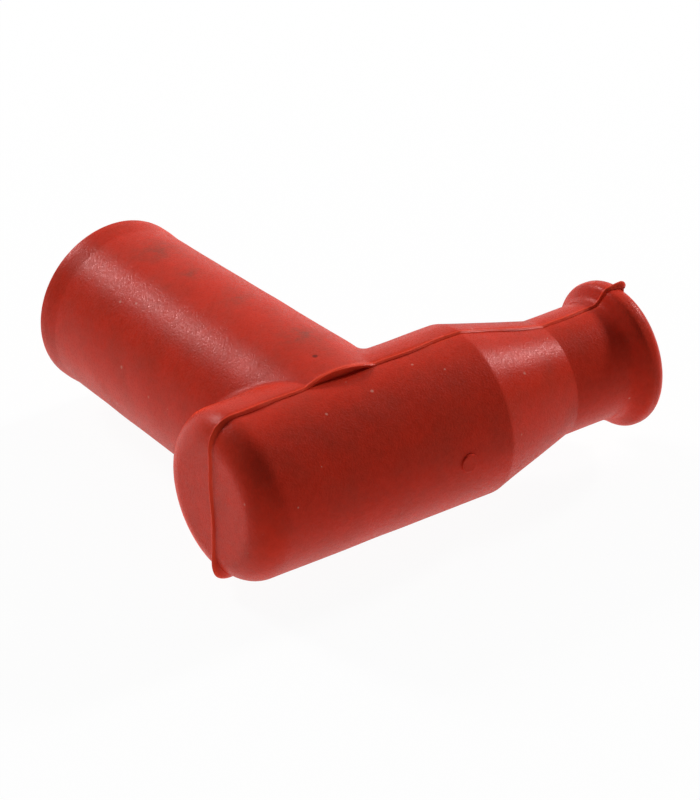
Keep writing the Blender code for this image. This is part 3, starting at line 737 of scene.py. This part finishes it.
def bar(name, low, high):
    """A square bar between two corners: its two ends are rows of four points."""
    across = np.array([(low[1], low[2]), (high[1], low[2]), (high[1], high[2]), (low[1], high[2])])
    rows = [np.column_stack([np.full(4, along), across]) for along in (low[0], high[0])]
    return solid(name, np.array(rows))


def cut_slot(piece, face):
    """Saw a screwdriver slot into a face that looks towards -X."""
    low = (face - SLOT_DEPTH, -CHAMBER_RADIUS, -SLOT_WIDTH / 2)
    high = (face + SLOT_DEPTH, CHAMBER_RADIUS, SLOT_WIDTH / 2)
    combine(piece, [bar("slot", low, high)], "DIFFERENCE")


core = rod("phenolic_core", -CORE_END_REACH, CORE_LEAD_REACH, CORE_RADIUS, body_grid, CORE_CHAMFER)
combine(core, [rod("leg", 0.0, LEG_REACH, LEG_RADIUS, barrel_grid, CORE_CHAMFER)], "UNION")
pocket_line = rounded(
    [
        (POCKET_BOTTOM, 0.0, 0.0),
        (POCKET_BOTTOM, POCKET_RADIUS, CORE_JOIN_FILLET),
        (LEG_REACH - CORE_JOIN_FILLET, POCKET_RADIUS, CORE_JOIN_FILLET),
        (LEG_REACH + CORE_JOIN_FILLET, POCKET_RADIUS + 2 * CORE_JOIN_FILLET, 0.0),
        (LEG_REACH + CORE_JOIN_FILLET, 0.0, 0.0),
    ],
    step=INNER_STEP,
)
core_cuts = [
    rod("chamber", -CORE_END_REACH - TOOL_OVERRUN, SCREW_SEAT + SEAT_GAP, CHAMBER_RADIUS, body_grid),
    rod("lead_hole", 0.0, CORE_LEAD_REACH + TOOL_OVERRUN, SHANK_HOLE_RADIUS, body_grid, sides=HOLE_SIDES),
    solid("pocket", barrel_grid(pocket_line, CORE_SIDES)),
    rod("shank_hole", 0.0, POCKET_BOTTOM + SEAT_GAP, SHANK_HOLE_RADIUS, barrel_grid, sides=HOLE_SIDES),
]
combine(core, core_cuts, "DIFFERENCE")

disc = rod(
    "phenolic_end_plug", -CORE_END_REACH, PLUG_DISC_INNER, PLUG_DISC_RADIUS, body_grid, PLUG_DISC_EDGE
)
cut_slot(disc, -CORE_END_REACH)

# Phenolic resin filled with wood flour, compression moulded: dark brown, with pale flecks of flour under a
# hard skin that shines softly.
FLOUR = 0.5

phenolic, tree, shader, place = begin("moulded_phenolic")
flour = add(tree, "TexNoise", links={"Vector": place}, Scale=1 / (FLOUR * MM), Detail=4.0, Roughness=0.7)
fleck = add(tree, "MapRange", links={"Value": flour.outputs["Fac"]}, From_Min=0.4, From_Max=0.75)
brown = add(
    tree, "Mix", RGB_MIX, {"Factor": fleck.outputs["Result"]}, A=linear("2c1912"), B=linear("5b3a28")
)
tree.links.new(brown.outputs["Result"], shader.inputs["Base Color"])
skin = add(tree, "Bump", links={"Height": flour.outputs["Fac"]}, Strength=0.2, Distance=0.02 * MM)
tree.links.new(skin.outputs["Normal"], shader.inputs["Normal"])
shine = add(tree, "MapRange", links={"Value": flour.outputs["Fac"]}, To_Min=0.3, To_Max=0.5)
tree.links.new(shine.outputs["Result"], shader.inputs["Roughness"])
shader.inputs["IOR"].default_value = 1.6

finish_piece(core, ["insulator_core"], phenolic)
finish_piece(disc, ["end_plug"], phenolic)


# Lead screw
# A pointed steel screw, thread rolled and zinc plated, that bites into the strands of the lead. It is
# dropped into the chamber, and its slotted head seats on the chamber's end wall.

SCREW_TIP = (screw_high.x - CROSSING.x) / MM
SCREW_HEAD_RADIUS = (screw_high.z - screw_low.z) / 2 / MM
SCREW_HEAD_EDGE = 0.4
SCREW_SEAT_EDGE = 0.12
SCREW_NECK_FILLET = 0.2
SCREW_SHANK_RADIUS = 1.7
SCREW_ROOT_RADIUS = 1.15
SCREW_PITCH = 1.7
SCREW_POINT_LENGTH = 3.0
SCREW_TIP_SHARE = 0.08
THREAD_FOOT_SHARE = 2 / 3
THREAD_CREST_GAIN = 1.25
SCREW_SIDES = 48
SCREW_STEPS_PER_TURN = 16


def screw_grid():
    """Head, shank and thread as rings along X.

    The thread's radius is the root's plus a triangle wave of (way along / pitch - turn) with its crest cut
    flat. The wave grows over the first turn, and the whole radius shrinks along the point.
    """
    head = rounded(
        [
            (SCREW_HEAD_START, 0.0, 0.0),
            (SCREW_HEAD_START, SCREW_HEAD_RADIUS, SCREW_HEAD_EDGE),
            (SCREW_SEAT, SCREW_HEAD_RADIUS, SCREW_SEAT_EDGE),
            (SCREW_SEAT, SCREW_SHANK_RADIUS, SCREW_NECK_FILLET),
            (CORE_LEAD_REACH - SEAT_GAP, SCREW_SHANK_RADIUS, 0.0),
        ],
        step=INNER_STEP,
    )
    count = round((SCREW_TIP - CORE_LEAD_REACH) / SCREW_PITCH * SCREW_STEPS_PER_TURN)
    along = np.linspace(CORE_LEAD_REACH, SCREW_TIP, count + 1)[:, None]
    side = np.linspace(0.0, 1.0, SCREW_SIDES, endpoint=False)[None]
    phase = ((along - CORE_LEAD_REACH) / SCREW_PITCH - side) % 1.0
    crest = np.maximum(0.0, 1 - np.abs(2 * phase - 1) / THREAD_FOOT_SHARE)
    crest = np.minimum(1.0, THREAD_CREST_GAIN * crest)
    fade_in = np.minimum(1.0, (along - CORE_LEAD_REACH) / SCREW_PITCH)
    taper = np.minimum(1.0, (SCREW_TIP - along) / SCREW_POINT_LENGTH + SCREW_TIP_SHARE)
    radius = (SCREW_ROOT_RADIUS + (SCREW_SHANK_RADIUS - SCREW_ROOT_RADIUS) * crest * fade_in) * taper
    plain = np.broadcast_to(head[:, 1:2], (len(head), SCREW_SIDES))
    radius = np.concatenate([plain, radius])
    along = np.broadcast_to(np.concatenate([head[:, :1], along]), radius.shape)
    turn = side * math.tau
    return np.stack([along, radius * np.cos(turn), radius * np.sin(turn)], axis=-1)


screw = solid("zinc_lead_screw", screw_grid())
cut_slot(screw, SCREW_HEAD_START)

# Zinc plating on rolled steel: bluish white and satin, in faint cloudy patches left by the bath.
BATH_CLOUD = 1.5

zinc, tree, shader, place = begin("zinc_plated_steel")
bath = add(tree, "TexNoise", links={"Vector": place}, Scale=1 / (BATH_CLOUD * MM), Detail=3.0)
plated = add(tree, "Mix", RGB_MIX, {"Factor": bath.outputs["Fac"]}, A=linear("aeb4bb"), B=linear("cfcfca"))
tree.links.new(plated.outputs["Result"], shader.inputs["Base Color"])
shine = add(tree, "MapRange", links={"Value": bath.outputs["Fac"]}, To_Min=0.25, To_Max=0.45)
tree.links.new(shine.outputs["Result"], shader.inputs["Roughness"])
shader.inputs["Metallic"].default_value = 1.0

finish_piece(screw, ["lead_screw"], zinc)


# Resistor
# A rod of fired ceramic with a drawn brass cup pressed over each end. It lies loose in the chamber between
# the head of the lead screw and the contact block.

rod_low, rod_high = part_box("resistor_body")
RESISTOR_START = (rod_low.x - CROSSING.x) / MM
RESISTOR_END = (rod_high.x - CROSSING.x) / MM
RESISTOR_RADIUS = (rod_high.z - rod_low.z) / 2 / MM
RESISTOR_EDGE = 0.3
CUP_WALL = 0.5
CUP_LENGTH = 2.6
CUP_EDGE = 0.08

resistor = rod(
    "ceramic_resistor",
    RESISTOR_START,
    RESISTOR_END,
    RESISTOR_RADIUS,
    body_grid,
    RESISTOR_EDGE,
    step=INNER_STEP,
)

# Steatite ceramic, pressed and fired: chalky cream, with grey specks and a fine sintered grain.
SINTER_GRAIN = 0.35

ceramic, tree, shader, place = begin("fired_ceramic")
fired = add(tree, "TexNoise", links={"Vector": place}, Scale=1 / (SINTER_GRAIN * MM), Detail=4.0)
spotted = add(tree, "MapRange", links={"Value": fired.outputs["Fac"]}, From_Min=0.55, From_Max=0.75)
cream = add(
    tree, "Mix", RGB_MIX, {"Factor": spotted.outputs["Result"]}, A=linear("e6dfd0"), B=linear("b9b2a4")
)
tree.links.new(cream.outputs["Result"], shader.inputs["Base Color"])
skin = add(tree, "Bump", links={"Height": fired.outputs["Fac"]}, Strength=0.3, Distance=0.02 * MM)
tree.links.new(skin.outputs["Normal"], shader.inputs["Normal"])
shader.inputs["Roughness"].default_value = 0.6
shader.inputs["IOR"].default_value = 1.6

finish_piece(resistor, ["resistor_body"], ceramic)


# Free-cutting brass, turned on a lathe. A wave texture at scale 1 has its bands BAND_LENGTH apart.
DULLED_CLOUD = 1.8
RING_PITCH = 0.12
BAND_LENGTH = math.tau / 20


def turned_brass(name, direction):
    """Brass cut on a lathe: warm yellow, dulled in clouds, with fine rings square to the lathe's axis.

    The rings are coarser than those of a real finishing cut, so that they show. The scale of their texture
    is the length of a band over their pitch.
    """
    made_of, tree, shader, place = begin(name)
    air = add(
        tree, "TexNoise", links={"Vector": place}, Scale=1 / (DULLED_CLOUD * MM), Detail=4.0, Roughness=0.6
    )
    dulled = add(
        tree, "Mix", RGB_MIX, {"Factor": air.outputs["Fac"]}, A=linear("d9b46a"), B=linear("a8813f")
    )
    tree.links.new(dulled.outputs["Result"], shader.inputs["Base Color"])
    rings = add(
        tree,
        "TexWave",
        {"bands_direction": direction},
        {"Vector": place},
        Scale=BAND_LENGTH / (RING_PITCH * MM),
        Distortion=0.4,
        Detail=1.0,
    )
    marks = add(tree, "Bump", links={"Height": rings.outputs["Fac"]}, Strength=0.15, Distance=0.01 * MM)
    tree.links.new(marks.outputs["Normal"], shader.inputs["Normal"])
    shine = add(tree, "MapRange", links={"Value": air.outputs["Fac"]}, To_Min=0.22, To_Max=0.42)
    tree.links.new(shine.outputs["Result"], shader.inputs["Roughness"])
    shader.inputs["Metallic"].default_value = 1.0
    return made_of


brass_along_body = turned_brass("turned_brass_body_axis", "X")

# Each cup: its node, the end of the rod that it closes, and which way it opens
CUPS = (("resistor_cap_lead", RESISTOR_END, -1), ("resistor_cap_block", RESISTOR_START, 1))
for node, end, direction in CUPS:
    inner = RESISTOR_RADIUS + SEAT_GAP
    floor_inner = end - direction * SEAT_GAP
    floor_outer = floor_inner - direction * CUP_WALL
    rim = floor_outer + direction * CUP_LENGTH
    cup_line = rounded(
        [
            (floor_outer, 0.0, 0.0),
            (floor_outer, inner + CUP_WALL, CUP_WALL),
            (rim, inner + CUP_WALL, CUP_EDGE),
            (rim, inner, CUP_EDGE),
            (floor_inner, inner, CUP_EDGE),
            (floor_inner, 0.0, 0.0),
        ],
        step=INNER_STEP,
    )
    cup = solid("drawn_" + node, body_grid(cup_line, CORE_SIDES))
    finish_piece(cup, [node], brass_along_body)


# Contact block and spring
# A turned brass block, cross drilled for the shank of the plug terminal, joins the terminal to the
# resistor. A spring of zinc-plated music wire pushes it along the chamber.

BLOCK_HALF_LENGTH = (block_high.x - block_low.x) / 2 / MM
BLOCK_RADIUS = (block_high.z - block_low.z) / 2 / MM
BLOCK_EDGE = 0.3
SPRING_WIRE_RADIUS = 0.42
SPRING_TURNS = 5
SPRING_EASE = 0.35
WIRE_SIDES = 16
WIRE_STEPS_PER_TURN = 40
WIRE_END_RINGS = 7

block = rod(
    "brass_contact_block", -BLOCK_HALF_LENGTH, BLOCK_HALF_LENGTH, BLOCK_RADIUS, body_grid, BLOCK_EDGE
)
hole = rod("hole", -CHAMBER_RADIUS, CHAMBER_RADIUS, SHANK_HOLE_RADIUS, barrel_grid, sides=HOLE_SIDES)
combine(block, [hole], "DIFFERENCE")
finish_piece(block, ["contact_block"], brass_along_body)


def wire_grid(turn, along, centre_radius, wire_radius):
    """Round wire wound round X, with rounded ends.

    A point of the ring at each turn stands wire radius * cos(around) out from the winding circle and
    wire radius * sin(around) along the axis. The last rings shrink as half a ball does.
    """
    run = turn * centre_radius
    into = np.minimum(np.minimum(run, run[-1] - run) / wire_radius, 1.0)
    shrunk = (wire_radius * np.sqrt(1 - (1 - into) ** 2))[:, None]
    around = np.linspace(0.0, math.tau, WIRE_SIDES, endpoint=False)[None]
    radius = centre_radius + shrunk * np.cos(around)
    reach = along[:, None] + shrunk * np.sin(around)
    return np.stack([reach, radius * np.cos(turn[:, None]), radius * np.sin(turn[:, None])], axis=-1)


def wire_turns(span, centre_radius, wire_radius):
    """Turn angles along a wire: even steps, with finer ones where its rounded ends shrink."""
    end = wire_radius / centre_radius
    ball = end * (1 - np.cos(np.linspace(0.0, math.pi / 2, WIRE_END_RINGS)))
    middle = np.linspace(end, span - end, round(span / math.tau * WIRE_STEPS_PER_TURN))
    return np.concatenate([ball, middle[1:-1], span - ball[::-1]])


spring_radius = BLOCK_RADIUS - SPRING_WIRE_RADIUS
spring_turn = wire_turns(math.tau * SPRING_TURNS, spring_radius, SPRING_WIRE_RADIUS)
spring_start = PLUG_DISC_INNER + SEAT_GAP + SPRING_WIRE_RADIUS
spring_end = -BLOCK_HALF_LENGTH - SEAT_GAP - SPRING_WIRE_RADIUS
wound = spring_turn / spring_turn[-1]
wound = wound - SPRING_EASE * np.sin(wound * math.tau) / math.tau
spring_along = spring_start + (spring_end - spring_start) * wound
spring = solid("music_wire_spring", wire_grid(spring_turn, spring_along, spring_radius, SPRING_WIRE_RADIUS))
finish_piece(spring, ["contact_spring"], zinc)


# Plug terminal and its clip
# A turned brass socket is screwed to the contact block. Two saw cuts make its wall into fingers, and an
# open ring of spring wire in a groove closes them on the nut of the spark plug.

TERMINAL_RADIUS = (terminal_high.x - terminal_low.x) / 2 / MM
TERMINAL_MOUTH = (terminal_high.y - CROSSING.y) / MM
TERMINAL_SHANK_END = (terminal_low.y - CROSSING.y) / MM
TERMINAL_BORE_RADIUS = 3.25
TERMINAL_FLOOR = 2.2
TERMINAL_CHAMFER = 0.4
TERMINAL_SHANK_EDGE = 0.3
TERMINAL_SLOT_WIDTH = 1.1
TERMINAL_SLOT_LENGTH = 8.0
TERMINAL_EASE = 0.12
CLIP_WIRE_RADIUS = 0.4
CLIP_GROOVE_DEPTH = 0.4
CLIP_SETBACK = 3.6
CLIP_SPAN = math.radians(300)

base = POCKET_BOTTOM + SEAT_GAP
clip_middle = TERMINAL_MOUTH - CLIP_SETBACK
groove_half = CLIP_WIRE_RADIUS + SEAT_GAP
groove_radius = TERMINAL_RADIUS - CLIP_GROOVE_DEPTH
terminal_line = rounded(
    [
        (TERMINAL_SHANK_END, 0.0, 0.0),
        (TERMINAL_SHANK_END, SCREW_SHANK_RADIUS, TERMINAL_SHANK_EDGE),
        (base, SCREW_SHANK_RADIUS, TERMINAL_EASE),
        (base, TERMINAL_RADIUS, TERMINAL_EASE),
        (clip_middle - groove_half, TERMINAL_RADIUS, TERMINAL_EASE),
        (clip_middle - groove_half, groove_radius, TERMINAL_EASE),
        (clip_middle + groove_half, groove_radius, TERMINAL_EASE),
        (clip_middle + groove_half, TERMINAL_RADIUS, TERMINAL_EASE),
        (TERMINAL_MOUTH, TERMINAL_RADIUS, TERMINAL_CHAMFER),
        (TERMINAL_MOUTH, TERMINAL_BORE_RADIUS, TERMINAL_CHAMFER),
        (base + TERMINAL_FLOOR, TERMINAL_BORE_RADIUS, TERMINAL_EASE),
        (base + TERMINAL_FLOOR, 0.0, 0.0),
    ],
    step=INNER_STEP,
)
terminal = solid("brass_plug_terminal", barrel_grid(terminal_line, CORE_SIDES))
slot_low = (-TERMINAL_SLOT_WIDTH / 2, TERMINAL_MOUTH - TERMINAL_SLOT_LENGTH, -POCKET_RADIUS)
slot_high = (TERMINAL_SLOT_WIDTH / 2, TERMINAL_MOUTH + TERMINAL_FLOOR, POCKET_RADIUS)
combine(terminal, [bar("slot", slot_low, slot_high)], "DIFFERENCE")
finish_piece(terminal, ["plug_terminal"], turned_brass("turned_brass_barrel_axis", "Y"))

clip_radius = groove_radius + SEAT_GAP + CLIP_WIRE_RADIUS
clip_turn = wire_turns(CLIP_SPAN, clip_radius, CLIP_WIRE_RADIUS)
clip_points = wire_grid(clip_turn, np.full_like(clip_turn, clip_middle), clip_radius, CLIP_WIRE_RADIUS)
clip_points = np.stack([-clip_points[..., 1], clip_points[..., 0], clip_points[..., 2]], axis=-1)
clip = solid("spring_wire_clip", clip_points)
finish_piece(clip, ["terminal_clip"], zinc)


# Studio
# A white table that runs up into a white sweep behind the cap. Two soft boxes stand behind it, and the room
# in front of it is dim.

TABLE_SIZE = 4.0
TABLE_GLOW = 0.85
TABLE_GLOW_SEEN = 0.95
ROOM_DIM = 0.05
ROOM_BRIGHT = 0.6
SWEEP = (0.52, 0.742, 0.423)
SWEEP_EDGE = 0.25
SWEEP_FULL = 0.85
LAMP_DISTANCE = 0.8

bpy.ops.mesh.primitive_plane_add(size=TABLE_SIZE)
table = bpy.context.object
table.name = "white_table"
paper, tree, shader, _ = begin("white_paper")
shader.inputs["Base Color"].default_value = linear("f2f2f2")
shader.inputs["Roughness"].default_value = 0.9

# The paper glows by itself, as if lit from all sides, and a little less where it only lights the cap
ray = add(tree, "LightPath")
seen = add(
    tree,
    "Math",
    {"operation": "MAXIMUM"},
    {0: ray.outputs["Is Camera Ray"], 1: ray.outputs["Is Glossy Ray"]},
)
through = add(
    tree, "Math", {"operation": "MAXIMUM"}, {0: seen.outputs[0], 1: ray.outputs["Is Transmission Ray"]}
)
share = add(tree, "MapRange", links={"Value": through.outputs[0]}, To_Min=TABLE_GLOW, To_Max=TABLE_GLOW_SEEN)
glow = add(tree, "Emission", Color=(1, 1, 1, 1), Strength=1.0)
both = add(tree, "MixShader", links={0: share.outputs["Result"], 1: shader.outputs[0], 2: glow.outputs[0]})
tree.links.new(both.outputs[0], tree.nodes["Material Output"].inputs["Surface"])
table.data.materials.append(paper)

world = bpy.data.worlds.new("studio")
bpy.context.scene.world = world
world.use_nodes = True
tree = world.node_tree
tree.nodes.clear()

# The room brightens towards the sweep, and is plain white to the camera
toward = add(tree, "TexCoord").outputs["Generated"]
facing = add(tree, "VectorMath", {"operation": "DOT_PRODUCT"}, {0: toward})
facing.inputs[1].default_value = SWEEP
lit = add(
    tree,
    "MapRange",
    {"interpolation_type": "SMOOTHSTEP"},
    {"Value": facing.outputs["Value"]},
    From_Min=SWEEP_EDGE,
    From_Max=SWEEP_FULL,
    To_Min=ROOM_DIM,
    To_Max=ROOM_BRIGHT,
)
room = add(tree, "Background", links={"Strength": lit.outputs["Result"]}, Color=(1, 1, 1, 1))
white = add(tree, "Background", Color=(1, 1, 1, 1), Strength=1.0)
ray = add(tree, "LightPath")
seen = add(
    tree,
    "Math",
    {"operation": "MAXIMUM"},
    {0: ray.outputs["Is Camera Ray"], 1: ray.outputs["Is Transmission Ray"]},
)
pick = add(tree, "MixShader", links={0: seen.outputs[0], 1: room.outputs[0], 2: white.outputs[0]})
add(tree, "OutputWorld", links={"Surface": pick.outputs[0]})


def soft_box(name, toward, distance, size, power):
    """A square softbox that faces the cap from one direction."""
    lamp = bpy.data.lights.new(name, "AREA")
    lamp.shape = "SQUARE"
    lamp.size = size
    lamp.energy = power
    box = bpy.data.objects.new(name, lamp)
    bpy.context.scene.collection.objects.link(box)
    direction = Vector(toward).normalized()
    box.location = Vector((0, 0, CROSSING.z)) + direction * distance
    box.rotation_mode = "QUATERNION"
    box.rotation_quaternion = direction.to_track_quat("Z", "Y")
    return box


soft_box("back_left_box", toward=(-0.22, 0.81, 0.55), distance=LAMP_DISTANCE, size=0.17, power=4.0)
soft_box("back_right_box", toward=(0.855, 0.05, 0.52), distance=LAMP_DISTANCE, size=0.12, power=4.3)

# Fitted to the outline of the real cap: direction from the crossing of the axes, place in mm, and lens
CAMERA_AZIMUTH = math.radians(-34.92139)
CAMERA_ELEVATION = math.radians(29.90090)
CAMERA_ROLL = math.radians(-1.06561)
CAMERA_PLACE = (-261.7897, -378.1519, 272.1892)
CAMERA_LENS = 203.747
CAMERA_SENSOR = 36.0

camera_data = bpy.data.cameras.new("camera")
camera_data.lens = CAMERA_LENS
camera_data.sensor_width = CAMERA_SENSOR
camera_data.clip_start = 0.01
camera = bpy.data.objects.new("camera", camera_data)
bpy.context.scene.collection.objects.link(camera)
back = Vector(
    (
        math.sin(CAMERA_AZIMUTH) * math.cos(CAMERA_ELEVATION),
        -math.cos(CAMERA_AZIMUTH) * math.cos(CAMERA_ELEVATION),
        math.sin(CAMERA_ELEVATION),
    )
)
right = Vector((math.cos(CAMERA_AZIMUTH), math.sin(CAMERA_AZIMUTH), 0.0))
upward = back.cross(right)
level = Matrix((right, upward, back)).transposed() @ Matrix.Rotation(CAMERA_ROLL, 3, "Z")
camera.matrix_world = Matrix.Translation(CROSSING + Vector(CAMERA_PLACE) * MM) @ level.to_4x4()
bpy.context.scene.camera = camera
bpy.context.scene.view_settings.view_transform = "Standard"
